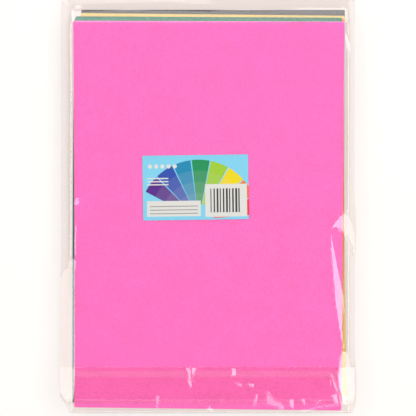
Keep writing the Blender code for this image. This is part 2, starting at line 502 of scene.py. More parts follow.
@dataclass(frozen=True)
class LabelPrint:
    """The label's print: a fan of colour swatches on sky blue, with plain white panels, bars and rules.

    Its lengths are in millimetres on the label.
    """

    ground: Colour = (0.17, 0.47, 0.63)
    white: Colour = (0.55, 0.54, 0.52)
    ink: Colour = (0.03, 0.03, 0.035)
    grey: Colour = (0.26, 0.26, 0.265)
    swatches: tuple[Colour, ...] = (
        (0.62, 0.03, 0.015),
        (0.64, 0.14, 0.015),
        (0.64, 0.50, 0.01),
        (0.26, 0.44, 0.03),
        (0.012, 0.21, 0.075),
        (0.012, 0.19, 0.34),
        (0.025, 0.06, 0.31),
        (0.075, 0.018, 0.19),
    )
    pivot: PlanPoint = (2.0, -25.0)
    first_angle: float = 4.0
    blade_angle: float = 18.5
    blade_gap: float = 0.03
    blade_inner: float = 12.0
    blade_outer: float = 46.5
    tint_pitch: float = 8.7
    tint_step: float = 0.06
    palest: float = 0.18
    bar_panel: Panel = Panel(7.3, -22.9, 39.7, 2.4)
    bars: Panel = Panel(11.4, -19.5, 35.4, -1.0)
    bar_pitch: float = 2.4
    bar_scatter: float = 0.37
    bar_spread: float = 0.35
    bar_least: float = 0.3
    rule_panel: Panel = Panel(-37.9, -22.2, 3.8, -10.2)
    rules: Panel = Panel(-35.6, -20.4, 1.6, -12.0)
    rule_pitch: float = 2.8
    rule_height: float = 0.8
    dots: Panel = Panel(-37.5, 14.2, -13.5, 19.0)
    dot_pitch: float = 4.8
    dot_radius: float = 1.6
    lines: Panel = Panel(-37.5, 2.0, -21.0, 9.0)
    line_pitch: float = 2.4
    line_height: float = 0.9
    roughness: float = 0.32
    paper_grain: float = 2.0
    paper_relief: float = 0.004 * MM

    def fan(self, graph: Graph, x: Term, y: Term) -> tuple[bpy.types.NodeSocket, Term]:
        """Return the fan's colours, and 1 on its blades.

        Args:
            graph: The label's material.
            x: Where across the label.
            y: Where up the label.

        Returns:
            The fan's colours, and a mask that is 1 on its blades.
        """
        across = x - self.pivot[0]
        along = y - self.pivot[1]
        radius = (across * across + along * along).root()
        blades = (along.angle_to(across) * math.degrees(1) - self.first_angle) / self.blade_angle
        count = len(self.swatches)
        stops = [(index / count, colour) for index, colour in enumerate(self.swatches)]
        ramp = graph.node("ShaderNodeValToRGB", {"ramp": stops}, {0: (blades.floor() + 0.5) / count})
        ramp.color_ramp.interpolation = "CONSTANT"
        bands = ((radius - self.blade_inner) / self.tint_pitch).floor()
        colour = graph.blend(self.palest - self.tint_step * bands, ramp.outputs[0], self.white)
        within = blades % 1.0
        blade = (within > self.blade_gap) * (within < 1 - self.blade_gap)
        ring = (radius > self.blade_inner) * (radius < self.blade_outer)
        return colour, blade * ring * (blades > 0.0) * (blades < count)

    def material(self, name: str, middle: Vector, turn: float) -> bpy.types.Material:
        """Return the printed face's material.

        Args:
            name: The material's name.
            middle: The label's middle.
            turn: How far the label is turned, in radians.

        Returns:
            The material.
        """
        graph = Graph(name)
        own = graph.mapped(middle, turn, (MM, MM, MM))
        parts = graph.node("ShaderNodeSeparateXYZ", None, {0: own}).outputs
        x = Term(graph, parts[0])
        y = Term(graph, parts[1])
        fan, blades = self.fan(graph, x, y)
        colour = graph.blend(blades, self.ground, fan)

        dot_x = (x - self.dots.left) % self.dot_pitch - self.dot_pitch / 2
        dot_y = y - (self.dots.bottom + self.dots.top) / 2
        dots = ((dot_x * dot_x + dot_y * dot_y).root() < self.dot_radius) * self.dots.mask(x, y)
        step = (x - self.bars.left) / self.bar_pitch
        width = ((step.floor() * self.bar_scatter) % 1.0) * self.bar_spread + self.bar_least
        layers = (
            (dots + self.lines.stripes(x, y, self.line_pitch, self.line_height), self.white),
            (self.rule_panel.mask(x, y), self.white),
            (self.rules.stripes(x, y, self.rule_pitch, self.rule_height), self.grey),
            (self.bar_panel.mask(x, y), self.white),
            (self.bars.mask(x, y) * (step % 1.0 < width), self.ink),
        )
        for mask, ink in layers:
            colour = graph.blend(mask, colour, ink)
        shader = graph.principled({
            "Base Color": colour,
            "Roughness": self.roughness,
            "Normal": graph.bump(graph.noise(own, self.paper_grain), self.paper_relief),
        })
        return graph.close(shader)


@dataclass(frozen=True)
class PlainFinish:
    """One colour with a faint cloud in it, for paper edges and the studio floor."""

    colour: Colour
    roughness: float
    glow: float = 0.0
    glow_colour: Colour = (1.0, 1.0, 1.0)
    cloud: float = 0.01
    cloud_scale: float = 8.0

    def material(self, name: str) -> bpy.types.Material:
        """Return the material.

        Args:
            name: The material's name.

        Returns:
            The material.
        """
        graph = Graph(name)
        dark = tuple(channel * (1 - self.cloud) for channel in self.colour)
        shader = graph.principled({
            "Base Color": graph.blend(graph.noise(graph.place(), self.cloud_scale), dark, self.colour),
            "Roughness": self.roughness,
            "Emission Color": self.glow_colour,
            "Emission Strength": self.glow,
        })
        return graph.close(shader)


@dataclass
class Patch:
    """A taut flat of film between folds, tipped so that it mirrors a studio light.

    Its corners are pixels of the photograph. It tips down towards faces, in degrees from +X, and is as
    high as the flat film at the pixel level, or else at its foremost corner.
    """

    faces: float
    slope: float
    corners: tuple[PlanPoint, ...]
    level: PlanPoint | None = None
    edge: float = 0.5 * MM

    def __post_init__(self) -> None:
        """Work out the outline, its bounds and its foot on the plan."""
        self.outline = [at(*corner) for corner in self.corners]
        self.low = [min(values) - self.edge for values in zip(*self.outline)]
        self.high = [max(values) + self.edge for values in zip(*self.outline)]
        feet = self.outline if self.level is None else [at(*self.level)]
        self.foot = max(self.ahead(*point) for point in feet)

    def ahead(self, x: float, y: float) -> float:
        """Return how far a point lies in the direction that the patch faces."""
        angle = math.radians(self.faces)
        return x * math.cos(angle) + y * math.sin(angle)

    def rise(self, x: float, y: float) -> float:
        """Return how far the patch lies above the flat film at a point."""
        return self.slope * (self.foot - self.ahead(x, y))

    def share(self, x: float, y: float) -> float:
        """Return 1 on the patch, less across the folds round it, and 0 beyond them.

        Args:
            x: Where across the pack.
            y: Where along the pack.

        Returns:
            The patch's share of the film there.
        """
        if not (self.low[0] < x < self.high[0] and self.low[1] < y < self.high[1]):
            return 0.0
        inside = False
        nearest = self.edge
        for start, end in zip(self.outline, self.outline[1:] + self.outline[:1]):
            run = (end[0] - start[0], end[1] - start[1])
            away = (x - start[0], y - start[1])
            if (start[1] > y) != (end[1] > y) and away[0] < run[0] * away[1] / run[1]:
                inside = not inside
            along = (away[0] * run[0] + away[1] * run[1]) / (run[0] ** 2 + run[1] ** 2)
            along = min(max(along, 0.0), 1.0)
            nearest = min(nearest, math.hypot(away[0] - along * run[0], away[1] - along * run[1]))
        return 1.0 if inside else ease(1 - nearest / self.edge)


def fold_in(
    patches: tuple[Patch, ...], x: float, y: float, height: float, flat: float, reach: float = 1.0
) -> tuple[float, float]:
    """Fold taut patches into a film.

    Args:
        patches: The patches.
        x: Where across the pack.
        y: Where along the pack.
        height: The film's height there without them.
        flat: The height of the flat film there, which they start from.
        reach: How far they hold there, from 0 to 1.

    Returns:
        The film's height, and how taut it is, from 0 to 1.
    """
    taut = 0.0
    for patch in patches:
        share = patch.share(x, y) * reach
        height += (flat + patch.rise(x, y) - height) * share
        taut = max(taut, share)
    return height, taut


@dataclass(frozen=True)
class Stand:
    """A stretch of a side weld that stands up, round a pixel row of the photograph."""

    side: Side
    row: float
    reach: float
    height: float

    def rise(self, y: float) -> float:
        """Return how far the weld stands up at y."""
        return self.height * ease(1 - abs(y - at(0.0, self.row)[1]) / self.reach)


# Taut flats of the front film: along its right side and its left side
FRONT_PATCHES = (
    Patch(11.4, 0.17, (
        (330.2, 229.5), (330.7, 246.0), (332.5, 268.0), (334.5, 295.0), (335.7, 309.0), (337.7, 322.0),
        (339.6, 331.5), (341.8, 344.5), (342.4, 347.0), (342.8, 300.0), (342.3, 291.0), (340.8, 284.3),
        (338.3, 274.8), (335.7, 258.8), (331.9, 239.7),
    ), level=(331.9, 239.7)),
    Patch(-32.0, 0.17, (
        (330.4, 228.3), (335.7, 219.9), (340.8, 214.8), (345.2, 212.5), (345.2, 234.5), (339.6, 229.8),
        (335.7, 227.9),
    ), level=(344.7, 234.0)),
    Patch(-16.0, 0.33, (
        (345.2, 212.5), (347.9, 213.5), (351.0, 218.6), (353.6, 225.6), (355.5, 234.0), (355.5, 256.0),
        (352.3, 246.0), (348.5, 239.0), (345.2, 234.5),
    ), level=(344.7, 234.0)),
    Patch(0.0, 0.16, (
        (341.6, 351.5), (339.5, 356.0), (338.6, 362.0), (339.2, 367.0), (337.6, 374.5), (337.8, 381.0),
        (339.0, 391.0), (341.5, 398.0), (344.0, 404.0), (346.2, 404.0), (346.2, 352.3),
    ), level=(345.5, 370.0)),
    Patch(0.0, 0.33, (
        (346.2, 352.3), (349.5, 359.0), (353.5, 366.0), (355.5, 366.0), (355.5, 404.0), (346.2, 404.0),
    ), level=(345.9, 370.0)),
    Patch(0.0, 0.16, (
        (345.8, 34.0), (347.8, 37.0), (349.6, 44.0), (351.2, 55.0), (348.6, 50.0), (346.6, 42.0),
    ), level=(345.0, 44.0)),
    Patch(180.0, 0.19, ((78.7, 197.6), (81.7, 203.2), (74.4, 206.4), (74.6, 203.0))),
    Patch(180.0, 0.19, ((77.9, 218.9), (78.9, 219.1), (79.2, 222.4), (78.2, 222.2))),
    Patch(180.0, 0.19, (
        (76.6, 225.4), (77.9, 225.6), (77.7, 243.0), (76.5, 258.4), (77.3, 264.6), (76.0, 271.8),
        (76.0, 300.0), (75.8, 350.0), (75.9, 371.0), (74.9, 392.0), (74.0, 398.0), (72.9, 398.0),
        (72.9, 262.0), (74.4, 258.0), (75.3, 243.0),
    ), level=(74.5, 250.0)),
    Patch(180.0, 0.34, (
        (72.6, 258.0), (72.6, 400.0), (66.0, 405.0), (59.0, 396.0), (59.0, 276.0), (66.0, 268.0),
    ), level=(73.2, 330.0)),
)

# Taut flats of the flap: blades at its free edge, and puckers towards the stack's end
FLAP_PATCHES = (
    Patch(0.0, 0.31, (
        (185.6, 367.3), (189.7, 367.3), (190.2, 373.5), (190.7, 382.5), (191.7, 386.6), (189.8, 386.0),
        (188.2, 382.0), (188.5, 373.8),
    )),
    Patch(0.0, 0.31, (
        (192.1, 367.3), (195.9, 367.3), (193.9, 373.8), (192.9, 380.8), (192.0, 380.6), (191.8, 373.8),
    )),
    Patch(0.0, 0.265, ((231.2, 367.9), (236.2, 367.9), (234.6, 375.4), (231.6, 375.4))),
    Patch(0.0, 0.26, (
        (235.6, 381.6), (238.5, 383.6), (241.6, 384.6), (242.2, 385.6), (238.5, 385.6), (236.2, 383.6),
    )),
    Patch(0.0, 0.25, ((246.6, 382.6), (250.5, 383.2), (254.4, 385.2), (253.6, 386.2), (249.5, 385.4))),
    Patch(0.0, 0.243, (
        (255.4, 393.4), (256.8, 393.6), (257.0, 398.0), (255.0, 405.4), (253.6, 405.0), (255.2, 399.0),
    )),
    Patch(-90.0, 0.195, (
        (266.1, 391.0), (273.7, 398.6), (280.6, 403.8), (284.0, 409.4), (277.0, 406.5), (267.0, 403.6),
    )),
    Patch(0.0, 0.21, ((289.8, 399.3), (293.3, 399.6), (293.8, 409.0), (290.1, 404.2))),
    Patch(0.0, 0.20, ((301.8, 398.7), (303.2, 398.9), (304.9, 404.0), (303.6, 404.2))),
    Patch(0.0, 0.18, ((319.4, 398.7), (320.6, 399.1), (316.6, 404.9), (315.4, 404.5))),
    Patch(0.0, 0.167, (
        (329.4, 372.6), (330.6, 373.2), (335.8, 383.2), (338.4, 391.0), (341.8, 404.6), (339.3, 404.6),
        (336.0, 391.5), (333.6, 384.8),
    )),
    Patch(0.0, 0.167, ((329.0, 380.6), (330.2, 380.8), (331.4, 385.4), (330.3, 385.9))),
    Patch(0.0, 0.162, ((330.8, 395.4), (336.5, 391.6), (338.1, 399.0), (339.0, 404.4), (335.5, 402.0))),
    Patch(-90.0, 0.195, (
        (300.0, 409.8), (312.0, 407.4), (324.0, 405.4), (341.6, 403.4), (341.6, 404.6), (324.0, 406.8),
        (312.0, 408.8), (300.0, 410.8),
    )),
    Patch(0.0, 0.29, (
        (208.7, 404.6), (209.9, 404.6), (210.6, 407.4), (213.2, 410.6), (212.0, 411.4), (209.6, 408.6),
        (207.8, 410.0), (207.8, 408.2),
    )),
    Patch(180.0, 0.27, (
        (156.8, 394.6), (158.6, 396.4), (159.2, 400.0), (157.6, 406.8), (156.2, 407.6), (157.4, 400.4),
    )),
)


@dataclass
class PackLines:
    """The pack's levels and plan lines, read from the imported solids."""

    sheets: list[str]
    patches: tuple[Patch, ...] = FRONT_PATCHES
    stands: tuple[Stand, ...] = (
        Stand(Side.RIGHT, 232.0, 34.0 * MM, 8.0 * MM),
        Stand(Side.RIGHT, 388.0, 40.0 * MM, 8.0 * MM),
        Stand(Side.LEFT, 335.0, 75.0 * MM, 7.0 * MM),
    )
    # Where the film leaves the flat on top of the stack, its gauge, and how high its welds lie
    seam: float = 0.6 * MM
    shoulder: float = 0.3 * MM
    head_inset: float = 1.0 * MM
    gauge: float = 0.1 * MM
    weld_share: float = 0.365
    # The stack's end: the mouth's lip, the film's turn, the flap, and the drawn corners
    lip_setback: float = 6.5 * MM
    end_bulge: float = 2.7 * MM
    flap_reach: float = 35.0 * MM
    corner_draw_length: float = 14.0 * MM
    left_corner_draw: float = 5.0 * MM
    right_corner_draw: float = 0.8 * MM
    corner_lift_back: float = 3.9 * MM
    # The welds' ripple along the pack, and how far out of flat the stack lies
    ripple_height: float = 0.7 * MM
    ripple_pitch: float = 83.0 * MM
    sag: float = 0.25 * MM
    sag_across: float = 130.0 * MM
    sag_along: float = 170.0 * MM

    def __post_init__(self) -> None:
        """Read the boxes of the bag, the tape, the stack and its top sheet."""
        bag_low, bag_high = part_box("poly_bag")
        _, top_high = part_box(self.sheets[0])
        tape_low, tape_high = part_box("seal_tape")
        boxes = [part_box(name) for name in self.sheets]
        half = self.gauge / 2
        self.stack_left = -min(low.x for low, _ in boxes)
        self.stack_right = max(high.x for _, high in boxes)
        self.stack_head = max(high.y for _, high in boxes)
        self.stack_top = top_high.z
        self.left_flat = self.stack_left + self.shoulder
        self.right_flat = self.stack_right + self.shoulder
        self.head_flat = top_high.y - self.head_inset
        self.left_weld = -bag_low.x - half
        self.right_weld = bag_high.x - half
        self.fold_line = bag_high.y - half
        self.end_line = bag_low.y + half + self.end_bulge
        self.lip_line = self.end_line + self.lip_setback
        self.flap_edge = self.end_line + self.flap_reach
        self.flap_level = bag_high.z - half
        self.tape_edge = tape_high.y
        self.tape_width = tape_high.y - tape_low.y
        self.tape_level = tape_high.z - half
        self.front_level = 2 * self.tape_level - self.flap_level
        self.back_level = half
        self.weld_level = self.weld_share * self.front_level

    def lie(self, x: float, y: float) -> float:
        """Return how far the stack's top lies out of flat at a point of the plan."""
        return self.sag * rough(x, y, self.sag_across, self.sag_along, Waves.STACK)

    def weld_reach(self, x: float, y: float) -> float:
        """Return how far out the weld on the side of x lies at y.

        Args:
            x: Any place on that side.
            y: Where along the pack.

        Returns:
            The distance from x = 0.
        """
        right = Side.of(x) is Side.RIGHT
        reach = self.right_weld if right else self.left_weld
        draw = self.right_corner_draw if right else self.left_corner_draw
        return reach - draw * ease((self.end_line + self.corner_draw_length - y) / self.corner_draw_length)

    def weld_height(self, x: float, y: float) -> float:
        """Return the weld's height at y: the loose margin ripples, and stands up where it is pulled.

        Args:
            x: Any place on the weld's side.
            y: Where along the pack.

        Returns:
            The height.
        """
        side = Side.of(x)
        ripple = self.ripple_height * math.sin(2 * math.pi * y / self.ripple_pitch + side.value)
        rise = max(stand.rise(y) for stand in self.stands if stand.side is side)
        return self.weld_level + ripple + rise

    def column_x(self, column: float, y: float) -> float:
        """Return where a film column lies: 0 is the middle, 1 the edge of the flat and 2 the right weld.

        Args:
            column: The column, below 0 on the left.
            y: Where along the pack.

        Returns:
            The column's x there.
        """
        flat = self.right_flat if column > 0 else self.left_flat
        distance = abs(column)
        if distance > FLAT_END:
            flat += (self.weld_reach(column, y) - flat) * (distance - FLAT_END)
            distance = FLAT_END
        return math.copysign(flat * distance, column)

    def margin(self, x: float, y: float, left: float, right: float, head: float) -> float:
        """Return 0 at the welds and the fold, and 1 where the film lies flat.

        Args:
            x: Where across the pack.
            y: Where along the pack.
            left: How far the flat reaches on the left.
            right: How far it reaches on the right.
            head: Where it ends at the head.

        Returns:
            The share.
        """
        weld = self.weld_reach(x, y)
        flat = right if x > 0 else left
        side = crown((weld - abs(x)) / (weld - flat))
        return side * leaning((self.fold_line - y) / (self.fold_line - head))

    def front_share(self, x: float, y: float) -> float:
        """Return 0 at the welds and 1 where the front film lies on the stack."""
        return self.margin(x, y, self.left_flat, self.right_flat, self.head_flat)

    def front(self, x: float, y: float) -> tuple[float, float]:
        """Return the smooth front film's height over a point of the plan, and how taut it is there.

        Args:
            x: Where across the pack.
            y: Where along the pack.

        Returns:
            The height, and the tautness from 0 to 1.
        """
        low = self.weld_height(x, y)
        flat = self.front_level + self.lie(x, y)
        height = low + (flat - low) * self.front_share(x, y)
        seam = ease((self.weld_reach(x, y) - abs(x)) / self.seam)
        return fold_in(self.patches, x, y, height, flat, seam)

    def front_height(self, x: float, y: float) -> float:
        """Return the smooth front film's height over a point of the plan."""
        return self.front(x, y)[0]

    def back_height(self, x: float, y: float) -> float:
        """Return the back film's height over a point of the plan.

        Args:
            x: Where across the pack.
            y: Where along the pack.

        Returns:
            The height.
        """
        low = self.weld_height(x, y)
        share = self.margin(x, y, self.left_flat, self.right_flat, self.stack_head + self.shoulder)
        return low + (self.back_level - low) * share

    def end_y(self, column: float) -> float:
        """Return where the film turns round the stack's end: the corners are drawn back."""
        return self.end_line + self.corner_lift_back * (1 - crown(WELD - abs(column)))


def new_piece(name: str, shape: bmesh.types.BMesh, materials: list[bpy.types.Material]) -> bpy.types.Object:
    """Turn a shape into a smooth object of the scene.

    Args:
        name: The piece's name.
        shape: Its mesh, which is used up.
        materials: Its materials in the order of their slots.

    Returns:
        The object.
    """
    mesh = bpy.data.meshes.new(name)
    shape.to_mesh(mesh)
    shape.free()
    mesh.shade_smooth()
    mesh.set_sharp_from_angle(angle=SHARP_ANGLE)
    for material in materials:
        mesh.materials.append(material)
    piece = bpy.data.objects.new(name, mesh)
    bpy.context.scene.collection.objects.link(piece)
    return piece


def thicken(piece: bpy.types.Object, gauge: float) -> None:
    """Give an open sheet its gauge, half to each side.

    Args:
        piece: The sheet's object.
        gauge: The sheet's thickness.
    """
    shell = piece.modifiers.new("gauge", "SOLIDIFY")
    shell.thickness = gauge
    shell.offset = 0.0
    shell.use_even_offset = True
    shell.use_quality_normals = True


@dataclass(frozen=True)
class Board:
    """A flat soft board: round corners, eased rims, and a skin fine enough to bend."""

    width: float
    length: float
    thickness: float
    corner: float
    rim: float
    across: int
    along: int
    corner_steps: int = 5
    rim_steps: int = 2

    def shape(self) -> bmesh.types.BMesh:
        """Return the board round the middle of its underside, with its cut sides in slot 1.

        Returns:
            The board's mesh.
        """
        shape = bmesh.new()
        bmesh.ops.create_grid(shape, x_segments=self.across, y_segments=self.along, size=0.5)
        bmesh.ops.scale(shape, vec=(self.width, self.length, 1.0), verts=shape.verts)
        bmesh.ops.recalc_face_normals(shape, faces=shape.faces)
        bmesh.ops.solidify(shape, geom=shape.faces[:], thickness=self.thickness)
        low = min(vert.co.z for vert in shape.verts)
        bmesh.ops.translate(shape, vec=(0.0, 0.0, -low), verts=shape.verts)
        bmesh.ops.recalc_face_normals(shape, faces=shape.faces)
        upright = [edge for edge in shape.edges if self._at_corner(edge)]
        bmesh.ops.bevel(
            shape, geom=upright, offset=self.corner, offset_type="OFFSET", segments=self.corner_steps,
            profile=0.5, affect="EDGES", clamp_overlap=True, material=-1,
        )
        shape.normal_update()
        for face in shape.faces:
            face.material_index = 1 if abs(face.normal.z) < UPRIGHT else 0
        if self.rim > 0:
            rims = [edge for edge in shape.edges if self._is_rim(edge)]
            bmesh.ops.bevel(
                shape, geom=rims, offset=self.rim, offset_type="OFFSET", segments=self.rim_steps,
                profile=0.5, affect="EDGES", clamp_overlap=True, material=-1,
            )
        return shape

    def _at_corner(self, edge: bmesh.types.BMEdge) -> bool:
        """Return whether an edge is one of the four upright corners."""
        within = 1e-6
        return all(
            abs(abs(vert.co.x) - self.width / 2) < within and abs(abs(vert.co.y) - self.length / 2) < within
            for vert in edge.verts
        )

    @staticmethod
    def _is_rim(edge: bmesh.types.BMEdge) -> bool:
        """Return whether an edge joins the flat skin to a cut side.

        Args:
            edge: The edge.

        Returns:
            Whether it does.
        """
        if len(edge.link_faces) != 2:
            return False
        first, second = (abs(face.normal.z) for face in edge.link_faces)
        return abs(first - second) > UPRIGHT


@dataclass(frozen=True)
class FoamSheet:
    """One craft foam sheet, cut slightly out of true, lying in the stack.

    Pulls move its corners, in the order left end, right end, right head and left head. Bend bows both long
    sides the same way at mid-length, and hollow draws only the right one in.
    """

    node: str
    slot: str
    colour: Colour
    pulls: tuple[PlanPoint, PlanPoint, PlanPoint, PlanPoint] = ((0, 0), (0, 0), (0, 0), (0, 0))
    bend: float = 0.0
    hollow: float = 0.0
    corner: float = 1.2 * MM
    rim: float = 0.22 * MM
    cell: float = 9.0 * MM

    def corners(self) -> list[Vector]:
        """Return the sheet's true corners: left end, right end, right head, left head.

        Returns:
            The four plan points.
        """
        points = [vert.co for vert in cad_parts[self.node].data.vertices]
        inset = self.corner * (1 - math.sqrt(0.5))
        found = []
        for (x, y), pull in zip(((-1, -1), (1, -1), (1, 1), (-1, 1)), self.pulls):
            outermost = max(points, key=lambda point: x * point.x + y * point.y)
            found.append(Vector((outermost.x + x * inset + pull[0], outermost.y + y * inset + pull[1])))
        return found

    def build(self, lines: PackLines) -> bpy.types.Object:
        """Build the sheet where its solid lies.

        Args:
            lines: The pack's levels and plan lines.

        Returns:
            The sheet's object.
        """
        low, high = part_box(self.node)
        end_left, end_right, head_right, head_left = self.corners()
        width = (end_right - end_left).length
        length = (head_left - end_left).length
        across = round(width / self.cell)
        along = round(length / self.cell)
        board = Board(width, length, high.z - low.z, self.corner, self.rim, across, along)
        shape = board.shape()
        for vert in shape.verts:
            u = vert.co.x / width + 0.5
            v = vert.co.y / length + 0.5
            end = end_left.lerp(end_right, u)
            head = head_left.lerp(head_right, u)
            plan = end.lerp(head, v)
            plan.x += (self.bend - self.hollow * u) * hump(v)
            height = low.z + vert.co.z
            lift = lines.lie(plan.x, plan.y) * height / lines.stack_top
            vert.co = (plan.x, plan.y, height + lift)
        skin = FoamFinish(self.colour).material(self.slot)
        cut = CutFinish(self.colour).material(self.slot + "_cut")
        piece = new_piece(self.node + "_sheet", shape, [skin, cut])
        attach(piece, BODY)
        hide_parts(self.node)
        return piece


@dataclass
class FoamStack:
    """The fanned stack of sheets, from the top one down."""

    sheets: tuple[FoamSheet, ...] = (
        FoamSheet(
            "foam_sheet_pink", "foam_pink", (0.90, 0.143, 0.482),
            (
                (0.36 * MM, 0.15 * MM), (-0.53 * MM, -0.71 * MM),
                (1.1 * MM, 0.87 * MM), (-1.2 * MM, 0.08 * MM),
            ),
            bend=0.5 * MM, hollow=0.55 * MM,
        ),
        FoamSheet("foam_sheet_lilac", "foam_lilac", (0.80, 0.42, 0.72), bend=-0.6 * MM),
        FoamSheet(
            "foam_sheet_green", "foam_green", (0.02, 0.23, 0.14),
            ((-0.6 * MM, 0), (0, 0), (0.9 * MM, 0), (0, 0)), bend=-0.6 * MM,
        ),
        FoamSheet(
            "foam_sheet_leaf_green", "foam_leaf_green", (0.02, 0.19, 0.12),
            ((0, 0), (0, 0), (0.7 * MM, 0), (0, 0)),
        ),
        FoamSheet("foam_sheet_orange", "foam_orange", (0.90, 0.20, 0.05), bend=0.6 * MM),
        FoamSheet(
            "foam_sheet_yellow", "foam_yellow", (0.76, 0.56, 0.18),
            ((0, 0), (1.0 * MM, 0), (0, 0), (0, 0)), bend=-0.8 * MM, hollow=0.3 * MM,
        ),
        FoamSheet(
            "foam_sheet_black", "foam_black", (0.095, 0.090, 0.095),
            ((0, 0), (0, 0), (0.6 * MM, 0), (0, 0)), bend=-0.4 * MM, hollow=0.6 * MM,
        ),
        FoamSheet("foam_sheet_blue", "foam_blue", (0.03, 0.16, 0.55)),
        FoamSheet("foam_sheet_red", "foam_red", (0.70, 0.03, 0.04)),
        FoamSheet("foam_sheet_white", "foam_white", (0.85, 0.85, 0.84)),
    )

    def build(self, lines: PackLines) -> list[bpy.types.Object]:
        """Build every sheet."""
        return [sheet.build(lines) for sheet in self.sheets]


@dataclass
class BagFilm:
    """The bag's film: the pouch, welded along its sides, and the flap that folds over its mouth."""

    lines: PackLines
    # The mesh: its columns by share of the flat, and its rows by their pitch along the pack
    middle_steps: int = 15
    middle_reach: float = 0.85
    left_steps: int = 16
    right_steps: int = 32
    slope_steps: int = 16
    flap_pitch: float = 0.5 * MM
    flap_row: float = 0.5 * MM
    fine_row: float = 1.1 * MM
    coarse_row: float = 3.4 * MM
    fold_row: float = 1.0 * MM
    fine_stretches: tuple[tuple[float, float], ...] = ((-122.0 * MM, 15.0 * MM), (112.0 * MM, 134.0 * MM))
    end_rows: int = 14
    mouth_rows: int = 4
    # The loose film's waves: along the side margins, at the head and in the flap
    streak_height: float = 0.45 * MM
    streak_pitch: float = 2.6 * MM
    streak_length: float = 42.0 * MM
    head_streak_height: float = 0.2 * MM
    head_streak_pitch: float = 5.0 * MM
    head_streak_length: float = 30.0 * MM
    flap_crinkle_height: float = 0.16 * MM
    flap_crinkle_pitch: float = 5.0 * MM
    flap_crinkle_length: float = 11.0 * MM
    # How close points are merged, the flap's taut flats, and the flat sizes of the two blanks in metres
    merge: float = 0.002 * MM
    flap_patches: tuple[Patch, ...] = FLAP_PATCHES
    pouch_cut: tuple[float, float] = (0.244, 0.650)
    flap_cut: tuple[float, float] = (0.240, 0.065)

    def streaks(self, x: float, y: float) -> float:
        """Return the fine lengthwise waves of the loose side margins, and the crosswise ones of the head.

        Args:
            x: Where across the pack.
            y: Where along the pack.

        Returns:
            The waves' height there.
        """
        lines = self.lines
        flat = lines.right_flat if x > 0 else lines.left_flat
        side = (abs(x) - flat) / (lines.weld_reach(x, y) - flat)
        head = (y - lines.head_flat) / (lines.fold_line - lines.head_flat)
        height = 0.0
        if side > 0:
            waves = rough(x, y, self.streak_pitch, self.streak_length, Waves.MARGIN)
            height += self.streak_height * hump(side) * waves
        if head > 0:
            waves = rough(x, y, self.head_streak_length, self.head_streak_pitch, Waves.HEAD)
            height += self.head_streak_height * hump(head) * waves
        return height

    def front_z(self, x: float, y: float) -> float:
        """Return the front panel's height, with its loose waves."""
        height, taut = self.lines.front(x, y)
        return height + self.streaks(x, y) * (1 - taut)

    def flap_z(self, x: float, y: float) -> float:
        """Return the flap's height, with its own patches and crinkles.

        Args:
            x: Where across the pack.
            y: Where along the pack.

        Returns:
            The height.
        """
        lines = self.lines
        lift = lines.flap_level - lines.front_level
        under, held = lines.front(x, y)
        flat = lines.flap_level + lines.lie(x, y)
        height, taut = fold_in(self.flap_patches, x, y, under + lift, flat)
        loose = ease((lines.tape_edge - lines.tape_width - y) / self.flap_crinkle_length)
        waves = rough(x, y, self.flap_crinkle_pitch, self.flap_crinkle_length, Waves.FLAP)
        crinkle = self.flap_crinkle_height * loose * waves
        return height + (crinkle + self.streaks(x, y)) * (1 - max(held, taut))

    def flap_point(self, column: float, step: float) -> Vector:
        """Return a point of the flap; step runs from 0 at its free edge to 1 at the stack's end.

        Args:
            column: The film column, from -2 at the left weld to 2 at the right one.
            step: How far along the flap.

        Returns:
            The point.
        """
        lines = self.lines
        y = lines.flap_edge + (lines.end_y(column) - lines.flap_edge) * step
        x = lines.column_x(column, y)
        return Vector((x, y, self.flap_z(x, y)))

    def end_point(self, column: float, step: float) -> Vector:
        """Return a point where the film goes round the stack's end; step runs from the flap to the back.

        Args:
            column: The film column, from -2 at the left weld to 2 at the right one.
            step: How far round, from 0 to 1.

        Returns:
            The point.
        """
        lines = self.lines
        y = lines.end_y(column)
        x = lines.column_x(column, y)
        high = self.flap_z(x, y)
        low = lines.back_height(x, y)
        half = (high - low) / 2
        bulge = half + (lines.end_bulge - half) * crown(WELD - abs(column))
        angle = math.pi * (0.5 - step)
        return Vector((x, y - bulge * math.cos(angle), (high + low) / 2 + half * math.sin(angle)))

    def mouth_point(self, column: float, step: float) -> Vector:
        """Return a point of the back panel between the stack's end, at 0, and the lip, at 1."""
        start = self.lines.end_y(column)
        return self.back_point(column, start + (self.lines.lip_line - start) * step)

    def back_point(self, column: float, y: float) -> Vector:
        """Return a point of the back panel at y."""
        x = self.lines.column_x(column, y)
        return Vector((x, y, self.lines.back_height(x, y)))

    def front_point(self, column: float, y: float) -> Vector:
        """Return a point of the front panel at y."""
        x = self.lines.column_x(column, y)
        return Vector((x, y, self.front_z(x, y)))

    def pouch_columns(self) -> list[float]:
        """Return the pouch's film columns from weld to weld, closer towards the sides.

        Returns:
            The columns.
        """
        columns = spaced(-WELD, -FLAT_END, self.slope_steps)
        columns += spaced(-FLAT_END, -self.middle_reach, self.left_steps)[1:]
        columns += spaced(-self.middle_reach, self.middle_reach, 2 * self.middle_steps)[1:]
        columns += spaced(self.middle_reach, FLAT_END, self.right_steps)[1:]
        return columns + spaced(FLAT_END, WELD, self.slope_steps)[1:]

    def flap_columns(self) -> list[float]:
        """Return the flap's film columns, evenly close.

        Returns:
            The columns.
        """
        flat = round(self.lines.right_flat / self.flap_pitch)
        right = spaced(0.0, FLAT_END, flat)[1:] + spaced(FLAT_END, WELD, self.slope_steps)[1:]
        return [-column for column in reversed(right)] + [0.0] + right

